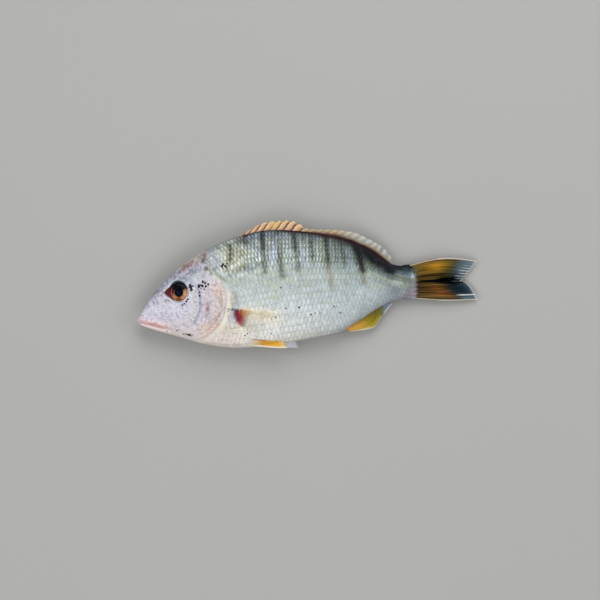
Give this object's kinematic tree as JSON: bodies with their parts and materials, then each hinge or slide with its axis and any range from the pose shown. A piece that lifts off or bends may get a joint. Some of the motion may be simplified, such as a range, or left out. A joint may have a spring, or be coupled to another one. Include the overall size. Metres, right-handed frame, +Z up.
{
  "type": "whole raw fish",
  "caption": "Whole raw striped sea bream lying on its side, uncleaned, with scaled flanks, dark bars, a low snout and yellow fins.",
  "frame": {"origin": "centre of the bounding box, on the surface that the fish rests on", "axes": "+X towards the tail, +Y towards the back, +Z up through the left flank, which is the side shown"},
  "size_m": [0.2501, 0.0935, 0.0302],
  "materials": {
    "skin": "wet silver-grey scaled skin, satin gloss, dark bars on the back, lilac white head",
    "eye": "glossy clear cornea over a brown and gold iris and a black pupil",
    "dorsal_fin": "moist peach and cream membrane on paler rays",
    "tail_fin": "moist golden brown membrane with black and blue-grey tips",
    "ventral_fin": "moist golden yellow membrane with a cream edge",
    "pectoral_fin": "moist translucent cream membrane, dark red at the base"
  },
  "bodies": {
    "root": {"body": "skin", "left_eye": "eye", "right_eye": "eye", "dorsal_fin": "dorsal_fin", "anal_fin": "ventral_fin", "tail_fin": "tail_fin", "left_pectoral_fin": "pectoral_fin", "right_pectoral_fin": "pectoral_fin", "left_pelvic_fin": "ventral_fin", "right_pelvic_fin": "ventral_fin"}
  },
  "joints": []
}
